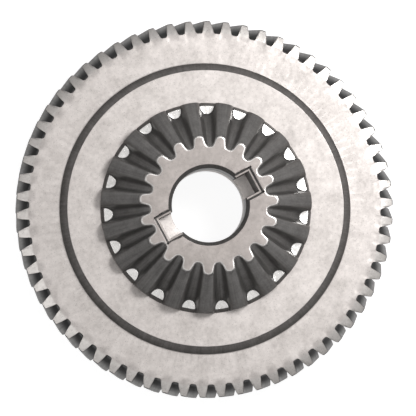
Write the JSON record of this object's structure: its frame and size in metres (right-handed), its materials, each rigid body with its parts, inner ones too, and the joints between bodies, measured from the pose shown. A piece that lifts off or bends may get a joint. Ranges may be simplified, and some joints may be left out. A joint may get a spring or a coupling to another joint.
{
  "type": "stand mixer gear",
  "caption": "One-piece steel mixer gear: a left-hand helical rim, a straight bevel gear on its face, and a bored hub with opposite drive pin slots.",
  "frame": {"origin": "on the bore axis, at the flat back face that the gear rests on", "axes": "+Z along the bore axis toward the bevel teeth, +X along the two drive pin slots"},
  "size_m": [0.0818, 0.0818, 0.025],
  "materials": {
    "sintered_steel": "satin sintered steel"
  },
  "bodies": {
    "root": {"mixer_gear": "sintered_steel"}
  },
  "joints": []
}
